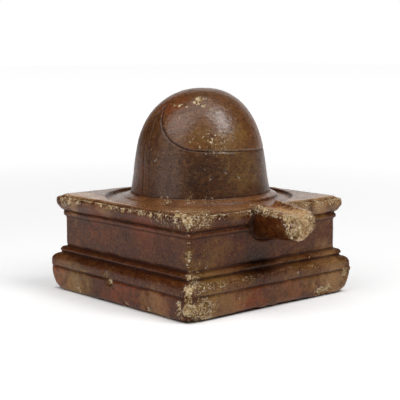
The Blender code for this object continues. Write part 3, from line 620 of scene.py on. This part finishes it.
def wear_the_foot(carving):
    """The foot's lower edge is worn uneven, most along the spout's side."""
    p = carving.points
    edge = smooth_step(square_reach(p), 55.0, 59.0) * (1.0 - smooth_step(p[:, 2], 0.5, 4.0))
    side = 0.35 + 0.65 * smooth_step(-p[:, 1], 54.0, 57.0)
    worn = np.clip(0.55 + 0.6 * uneven(p, 9.0, 91) + 0.4 * uneven(p, 3.5, 92), 0.0, 1.3)
    carving.points[:, 2] += FOOT_WEAR * edge * side * worn


def knock_off(carving, normals, place, radius, depth):
    """Break the stone away down to a rough plane under one place."""
    offset = carving.points - np.array(place)
    near = np.nonzero((np.abs(offset) < 1.4 * radius).all(1))[0]
    if not len(near):
        return
    offset = offset[near]
    outward = normals[near].mean(0)
    outward /= max(np.linalg.norm(outward), 1e-6)
    ragged = uneven(carving.points[near], 0.45 * radius + 0.4, 31)
    away = np.linalg.norm(offset, axis=1) * (1.0 + 0.45 * ragged)
    crumbled = CHIP_ROUGHNESS * depth * uneven(carving.points[near], 0.9, 32)
    above = offset @ outward + depth + crumbled
    moved = np.clip(above, 0.0, 2.2 * depth) * (1.0 - smooth_step(away, 0.55 * radius, radius))
    carving.points[near] -= outward * moved[:, None]


def blobs(points, spots):
    """Soft spots on the stone: 1 in the middle of each, 0 outside its radius."""
    total = np.zeros(len(points))
    ragged = 1.0 + 0.35 * uneven(points, 2.0, 81) + 0.3 * uneven(points, 5.0, 82)
    for x, y, z, radius, strength in spots:
        away = np.linalg.norm(points - np.array((x, y, z)), axis=1)
        away = np.linalg.norm(points - points[away.argmin()], axis=1) * ragged
        total = np.maximum(total, strength * (1.0 - smooth_step(away, 0.35 * radius, radius + 0.3)))
    return total


def wear_at(points):
    """How readily an edge has lost its brown skin here, from the photographed places."""
    reach = square_reach(points)
    beside = np.minimum(np.abs(points[:, 0]), np.abs(points[:, 1]))
    x, y, z = points.T
    rim = within(z, (49.0, 50.2), (53.6, 54.2)) * smooth_step(reach, 54.5, 56.0)
    upright = smooth_step(beside - reach, -3.0, -1.0)
    neck = within(z, *NECK_SPAN)
    front = upright * smooth_step(-x, 44.0, 50.0) * smooth_step(-y, 44.0, 50.0) * (1.0 - 0.75 * neck)
    spout = (1.0 - off_spout(points)) * smooth_step(-y, 52.0, 56.0) * smooth_step(z, 36.0, 40.0)
    spout = spout * (0.7 + 0.3 * smooth_step(-x, -4.0, 4.0))
    foot = 1.0 - smooth_step(z, 2.0, 4.0)
    least = np.full_like(x, 0.12)
    corners = 0.3 * upright * (1.0 - 0.5 * neck)
    shares = [least, 0.8 * rim, corners, 0.8 * front, 0.9 * spout, 0.6 * foot]
    return np.maximum.reduce(shares)


def bead_wear(points):
    """How far the rim's bead and the ovolo's shoulder are flecked with pale stone."""
    reach = square_reach(points)
    x, y, z = points.T
    near = smooth_step(-x - y, 40.0, 105.0)
    bead = within(z, (49.6, 51.0), (53.4, 53.9)) * smooth_step(reach, 55.0, 56.2)
    shoulder = within(z, (16.6, 17.6), (19.0, 20.4)) * smooth_step(reach, 56.0, 57.5)
    right = smooth_step(-y, 54.0, 57.0)
    uneven_wear = 1.0 + 0.5 * uneven(points, 7.0, 71)
    return np.maximum((0.32 + 0.1 * near) * bead, (0.2 + 0.14 * near) * right * shoulder) * uneven_wear


def rough_skin(carving, normals, lingam, above_line):
    """The hand's unevenness, the stone's grain and the dimples above the long line."""
    p = carving.points
    hand = 0.13 * uneven(p, 14.0, 11) + 0.07 * uneven(p, 5.0, 12) - 0.04
    grain = 0.05 * uneven(p, 2.2, 14) + 0.035 * uneven(p, 1.2, 13)
    dimples = DIMPLE_DEPTH * above_line * uneven(p, 0.95, 15)
    height = np.where(lingam, 0.35, 1.0) * hand + np.where(lingam, 0.9, 1.0) * grain + dimples
    carving.points += normals * height[:, None]


def stay_in_the_box(carving):
    """Nothing reaches past the solid's own box."""
    low, high = (np.array(corner) / MM for corner in cad_box)
    carving.points = np.clip(carving.points, low + BOX_GAP, high - BOX_GAP)


def keep_wear(carving, start, rubbed, broken_end):
    """Keep for the material where the skin is worn through, and where glints are painted by the dome's
    foot.
    """
    fresh = np.linalg.norm(carving.points - start, axis=1)
    on_neck = within(start[:, 2], *NECK_SPAN)
    broken = smooth_step(fresh, 0.7, 1.3) * (0.7 - 0.45 * on_neck)
    marks = np.maximum(broken, blobs(start, PALE_SPOTS_AND_GLINTS))
    carving.keep("worn", np.maximum.reduce([rubbed, marks, 0.6 * broken_end, bead_wear(start)]))


def keep_colours(carving, start, normals, lingam, creases):
    """Keep for the material where dirt and painted shade lie, where light is painted on the upward
    faces, and where the stone has another colour.
    """
    radius = np.hypot(*start[:, :2].T)
    basin = smooth_step(start[:, 2], 49.0, 51.0) * (1.0 - smooth_step(radius, 53.0, 54.5))
    # Painted contact shadow: the stone's bottom millimetre on the spout's side is coloured dark
    under = (1.0 - smooth_step(carving.points[:, 2], 0.7, 1.7)) * smooth_step(-start[:, 1], 40.0, 58.0)
    creases = np.maximum(creases, 1.1 * under)
    # Dirt and painted shade in creases, quirks and cut lines, less of it in the basin
    carving.keep("soil_and_shade", creases * np.where(lingam, 0.9, 0.9 - 0.5 * basin))
    carving.keep("lingam", lingam.astype(float))
    # Painted light: the upward faces of the seat's top are coloured lighter, as if lit from above
    upward = smooth_step(normals[:, 2], 0.4, 0.85) * smooth_step(start[:, 2], 48.0, 51.0)
    carving.keep("top", upward * (1.0 - 0.15 * basin))
    mouldings = within(start[:, 2], (12.8, 14.0), (26.0, 30.0))
    for name, spots in TINTS.items():
        share = 1.0 - 0.85 * mouldings if name == "russet" else 1.0
        carving.keep(name, blobs(start, spots) * share)


def carve(stone):
    """Everything that hands, use and time did to the sawn block."""
    carving = Carving(stone)
    carving.points = carving.blurred(carving.points, 2)
    lingam = turn_true(carving)
    above_line, groove = cut_lines(carving, lingam)
    opened = deepen_quirks(carving)
    opened = np.maximum(opened, free_the_spout(carving))
    lean_mouldings(carving)
    close_the_corner(carving)
    wear_the_foot(carving)

    normals = carving.normals()
    start = carving.points.copy()
    sharpness = ((start - carving.blurred(start, 10)) * normals).sum(1)
    ready = wear_at(start)
    rough = uneven(start, 3.2, 41) + 0.6 * uneven(start, 1.3, 42)
    lost = np.clip(sharpness - 0.06, 0.0, MOST_EDGE_LOST) * ready * np.clip(1.0 + 1.4 * rough, 0.0, 3.0)
    carving.points -= normals * np.where(lingam, 0.0, lost)[:, None]
    broken_end = break_the_end(carving, normals)
    for x, y, z, radius, depth in CHIPS:
        knock_off(carving, normals, (x, y, z), radius, depth)
    rough_skin(carving, normals, lingam, above_line)
    stay_in_the_box(carving)
    carving.write()

    edge = smooth_step(sharpness * ready * (1.0 + 0.6 * rough), 0.03, 0.16)
    keep_wear(carving, start, edge * np.where(lingam, 0.1, 0.9), broken_end)
    creases = np.maximum.reduce([smooth_step(-sharpness, 0.03, 0.2), 0.9 * opened, groove])
    keep_colours(carving, start, normals, lingam, creases)
    carving.keep("above_line", above_line)


def lighten(stone):
    """Thin the mesh where it is flat, down to what one piece may have."""
    stone.data.calc_loop_triangles()
    share = MOST_TRIANGLES / len(stone.data.loop_triangles)
    if share < 1.0:
        finish_with(stone, "lighter", "DECIMATE", decimate_type="COLLAPSE", ratio=share)


# ---- shader maths

class Reading:
    """A number in a material, so that shader maths reads as Python."""

    def __init__(self, finish, socket):
        self.finish = finish
        self.socket = socket

    def maths(self, operation, *values):
        return self.finish.number("ShaderNodeMath", {"operation": operation}, dict(enumerate(values)))

    def __add__(self, other):
        return self.maths("ADD", self, other)

    __radd__ = __add__

    def __sub__(self, other):
        return self.maths("SUBTRACT", self, other)

    def __rsub__(self, other):
        return self.maths("SUBTRACT", other, self)

    def __mul__(self, other):
        return self.maths("MULTIPLY", self, other)

    __rmul__ = __mul__

    def most(self, other):
        return self.maths("MAXIMUM", self, other)

    def size(self):
        return self.maths("ABSOLUTE", self)

    def from_to(self, low, high):
        """0 below low, 1 above high and a soft step between them."""
        return self.finish.number(
            "ShaderNodeMapRange",
            {"interpolation_type": "SMOOTHSTEP"},
            {"Value": self, "From Min": low, "From Max": high},
        )


class Finish:
    """A material and the one way to add nodes to it."""

    def __init__(self, name):
        self.material = bpy.data.materials.new(name)
        self.material.use_nodes = True
        self.tree = self.material.node_tree
        self.shader = self.tree.nodes["Principled BSDF"]

    def node(self, kind, settings=None, sockets=None):
        made = self.tree.nodes.new(kind)
        for name, value in (settings or {}).items():
            setattr(made, name, value)
        for name, value in (sockets or {}).items():
            self.connect(made.inputs[name], value)
        return made

    def connect(self, socket, value):
        if isinstance(value, Reading):
            value = value.socket
        if isinstance(value, bpy.types.NodeSocket):
            self.tree.links.new(value, socket)
        else:
            socket.default_value = value

    def number(self, kind, settings, sockets, output=0):
        made = self.node(kind, settings, sockets)
        outputs = [s for s in made.outputs if s.enabled]
        return Reading(self, outputs[output])

    def noise(self, size, detail=2.0, roughness=0.5, place=None, seed=0.0):
        """Noise from 0 to 1 whose features are about size millimetres."""
        sockets = {"Scale": 1.0 / (size * MM), "Detail": detail, "Roughness": roughness, "W": seed}
        if place is not None:
            sockets["Vector"] = place
        return self.number("ShaderNodeTexNoise", {"noise_dimensions": "4D"}, sockets)

    def mix(self, share, first, second):
        """The first colour where the share is 0 and the second where it is 1."""
        made = self.node("ShaderNodeMix", {"data_type": "RGBA"})
        self.connect(made.inputs[0], share)
        self.connect(made.inputs[6], first)
        self.connect(made.inputs[7], second)
        return made.outputs[2]

    def layered(self, under, layers):
        """Colours laid over one another, each by its share."""
        for share, over in layers:
            under = self.mix(share, under, colour(*over))
        return under

    def paint(self, values):
        """Give the shader's sockets their values."""
        for name, value in values.items():
            self.connect(self.shader.inputs[name], value)

    def attribute(self, name):
        made = self.node("ShaderNodeAttribute", {"attribute_name": name})
        return Reading(self, made.outputs["Fac"])


def colour(red, green, blue):
    """A colour written as it looks on screen, from 0 to 255, for a socket."""
    linear = []
    for value in (red, green, blue):
        share = value / 255
        linear.append(share / 12.92 if share <= 0.04045 else ((share + 0.055) / 1.055) ** 2.4)
    return (*linear, 1.0)


def grey(value):
    return (value, value, value, 1.0)


class StoneShares:
    """Shares from 0 to 1 that colour and gloss are made of: kept by carve(), or noise."""

    def __init__(self, finish):
        place = finish.node("ShaderNodeTexCoord").outputs["Object"]
        self.worn, self.soil_and_shade = finish.attribute("worn"), finish.attribute("soil_and_shade")
        self.above, self.lingam = finish.attribute("above_line"), finish.attribute("lingam")
        self.top = finish.attribute("top")
        self.ochre, self.russet, self.dark, self.light = (finish.attribute(name) for name in TINTS)
        self.broad = finish.noise(17.0, 3.0, place=place, seed=1.0)
        self.patchy = finish.noise(6.0, 4.0, 0.6, place=place, seed=2.0)
        self.fine = finish.noise(2.2, 4.0, 0.7, place=place, seed=3.0)
        self.grains = finish.noise(1.0, 3.0, 0.7, place=place, seed=4.0)
        self.flecks = finish.noise(0.7, 2.0, 0.7, place=place, seed=5.0)
        self.dimples = finish.noise(1.2, 1.0, 0.4, place=place, seed=6.0)
        level = {0: place, 1: (0.3, 0.3, 1.0)}
        drawn_out = finish.node("ShaderNodeVectorMath", {"operation": "MULTIPLY"}, level)
        self.streaks = finish.noise(0.9, 2.0, 0.6, place=drawn_out.outputs[0], seed=7.0)


def skin_colour(finish, here):
    """The oiled skin: seat and lingam, with patches, specks, level streaks, dirt and painted shade in
    the creases, and painted light on the upward faces.
    """
    seat = finish.mix(here.broad.from_to(0.35, 0.65), *(colour(*brown) for brown in SEAT_BROWNS))
    # Painted light: the seat's upward faces are lighter, as if lit from above
    seat = finish.mix(here.top * 0.7, seat, colour(*LIT_TOP_BROWN))
    dome = finish.mix(here.above, colour(*DRUM_BROWN), colour(*DOME_BROWN))
    return finish.layered(finish.mix(here.lingam, seat, dome), (
        (here.russet * here.patchy.from_to(0.3, 0.6) * 0.6, RUSSET),
        (here.ochre * here.patchy.from_to(0.25, 0.62) * 0.6, OCHRE),
        (here.light * here.patchy.from_to(0.1, 0.55) * 0.85, LIGHT_BROWN),
        (here.dark * here.broad.from_to(0.2, 0.6) * 0.75, DARK_BROWN),
        (here.fine.from_to(0.5, 0.68) * 0.4, FINE_GOLD),
        ((1.0 - here.fine).from_to(0.5, 0.68) * 0.45, FINE_SHADE),
        ((1.0 - here.grains).from_to(0.54, 0.66) * 0.45, GRAIN_SHADE),
        (here.flecks.from_to(0.56, 0.7) * 0.5, FLECK_GOLD),
        ((1.0 - here.flecks).from_to(0.56, 0.7) * 0.5, FLECK_SHADE),
        (here.lingam * (1.0 - here.streaks).from_to(0.5, 0.64) * 0.4, STREAK_SHADE),
        (here.lingam * here.streaks.from_to(0.54, 0.68) * 0.3, STREAK_GOLD),
        # Dirt and painted shade in the creases, and the painted contact shadow along the foot
        (here.soil_and_shade * (0.95 - here.patchy * 0.4), CREASE_DIRT_AND_SHADE),
    ))


def bare_colour(finish, here):
    """Pale stone under the skin, with white grains, shaded ones and dark pits."""
    pale = finish.mix(here.fine.from_to(0.4, 0.6), *(colour(*cream) for cream in BARE_STONE))
    return finish.layered(pale, (
        (here.grains.from_to(0.53, 0.65) * 0.8, BARE_WHITE),
        ((1.0 - here.grains).from_to(0.53, 0.65) * 0.55, BARE_SHADE),
        ((1.0 - here.flecks).from_to(0.56, 0.68) * 0.5, BARE_PIT),
    ))


def oiled_stone():
    """Brown stone, oiled and handled, with the pale stone showing where it is worn."""
    finish = Finish("oiled_brown_stone")
    here = StoneShares(finish)
    above, lingam, soil_and_shade = here.above, here.lingam, here.soil_and_shade
    fine, grains, flecks = here.fine, here.grains, here.flecks
    loose = (grains - 0.5) * 1.6 + (flecks - 0.5) * 2.1 + (fine - 0.5) * 0.6
    # Pale stone where worn, and the painted glints by the dome's foot
    bare = (here.worn * 1.1 + loose).from_to(0.44, 0.84)
    rough = 0.32 - here.top * 0.08 + lingam * 0.12 + bare * 0.3 + (fine - 0.5) * 0.5 + soil_and_shade * 0.3
    dull = bare * 0.25 + soil_and_shade * 0.35
    shine = lingam * (0.27 + above * 0.11 - dull + (fine - 0.5) * 0.4 + (grains - 0.5) * 0.8)
    height = fine * 0.2 + here.dimples * 0.4 + flecks * 0.15 - bare * 0.35
    height = height + here.streaks * lingam * 0.35
    bump = finish.node("ShaderNodeBump", None, {"Height": height, "Distance": 0.0006, "Strength": 1.0})
    finish.paint({
        "Base Color": finish.mix(bare, skin_colour(finish, here), bare_colour(finish, here)),
        "Roughness": rough,
        "Specular IOR Level": 0.22,
        "Coat Weight": shine,
        "Coat Roughness": 0.3,
        "Coat IOR": 2.0,
        "Normal": bump.outputs["Normal"],
    })
    return finish.material


# ---- studio

def floor_glow(finish):
    """Glow that fades towards the stone and goes out under its foot, a painted contact shadow.

    The stone's upright faces mirror the floor ahead of them, so that is nearly dark.
    """
    place = finish.node("ShaderNodeTexCoord").outputs["Object"]
    away = finish.number("ShaderNodeVectorMath", {"operation": "LENGTH"}, {0: place})
    glow = finish.mix(away.from_to(0.2, 1.4), grey(0.25), grey(0.9))
    to_camera = {0: place, 1: TO_CAMERA}
    ahead = finish.number("ShaderNodeVectorMath", {"operation": "DOT_PRODUCT"}, to_camera)
    dim = ahead.from_to(0.2, 0.4) * (1.0 - away.from_to(0.6, 1.2))
    glow = finish.mix(dim, glow, grey(0.03))
    across, along = (finish.number("ShaderNodeSeparateXYZ", None, {0: place}, output=n) for n in (0, 1))
    reach = across.size().most(along.size())
    # Black at the foot's edge: a painted contact shadow
    return finish.mix(reach.from_to(0.057, 0.0605), grey(0.0), glow)


def pale_floor():
    """A white floor that glows by itself, as the photo's does."""
    put_down_all()
    bpy.ops.mesh.primitive_plane_add(size=12.0, location=(0.0, 0.0, 0.0))
    floor = bpy.context.object
    floor.name = "pale_floor"
    finish = Finish("white_sweep")
    finish.paint({
        "Base Color": grey(0.92),
        "Roughness": 0.9,
        "Specular IOR Level": 0.1,
        "Emission Color": floor_glow(finish),
        "Emission Strength": 1.0,
    })
    floor.data.materials.append(finish.material)


def room_light():
    """A tent that is dark but for its white side behind the stone."""
    world = bpy.data.worlds.new("tent")
    bpy.context.scene.world = world
    world.use_nodes = True
    tree = world.node_tree
    place = tree.nodes.new("ShaderNodeTexCoord")
    facing = tree.nodes.new("ShaderNodeVectorMath")
    facing.operation = "DOT_PRODUCT"
    facing.inputs[1].default_value = TENT_BACK
    tree.links.new(place.outputs["Generated"], facing.inputs[0])
    reach = tree.nodes.new("ShaderNodeMapRange")
    reach.interpolation_type = "SMOOTHSTEP"
    for name, value in TENT_RANGE.items():
        reach.inputs[name].default_value = value
    tree.links.new(facing.outputs["Value"], reach.inputs["Value"])
    tree.links.new(reach.outputs["Result"], tree.nodes["Background"].inputs["Strength"])
    tree.nodes["Background"].inputs["Color"].default_value = grey(1.0)


def softbox(name, azimuth, elevation, distance, width, height, radiance):
    """A rectangular light aimed at the stone. Its radiance is set, whatever its size."""
    turn, rise = math.radians(azimuth), math.radians(elevation)
    level = math.cos(rise)
    towards = Vector((math.sin(turn) * level, -math.cos(turn) * level, math.sin(rise)))
    lamp = bpy.data.lights.new(name, "AREA")
    lamp.shape = "RECTANGLE"
    lamp.size = width
    lamp.size_y = height
    lamp.energy = radiance * math.pi * width * height
    holder = bpy.data.objects.new(name, lamp)
    holder.location = Vector((0.0, 0.0, AIM_HEIGHT)) + towards * distance
    holder.rotation_euler = towards.to_track_quat("Z", "Y").to_euler()
    bpy.context.scene.collection.objects.link(holder)


def camera_as_photographed():
    data = bpy.data.cameras.new("camera")
    data.lens = LENS
    data.sensor_width = SENSOR
    data.sensor_fit = "HORIZONTAL"
    data.clip_start = 0.01
    data.clip_end = 50.0
    camera = bpy.data.objects.new("camera", data)
    camera.location = EYE
    upright = VIEW.to_track_quat("-Z", "Y").to_matrix() @ Matrix.Rotation(ROLL, 3, "Z")
    camera.rotation_euler = upright.to_euler()
    bpy.context.scene.collection.objects.link(camera)
    bpy.context.scene.camera = camera


def dress(stone):
    stone.data.materials.append(oiled_stone())
    pick_up(stone)
    bpy.ops.object.shade_smooth()
    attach(stone, "root")
    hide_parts("shiva_lingam")


stone = even_block()
carve(stone)
lighten(stone)
dress(stone)
pale_floor()
room_light()
for lamp in SOFTBOXES:
    softbox(*lamp)
camera_as_photographed()
bpy.context.scene.view_settings.view_transform = "Standard"
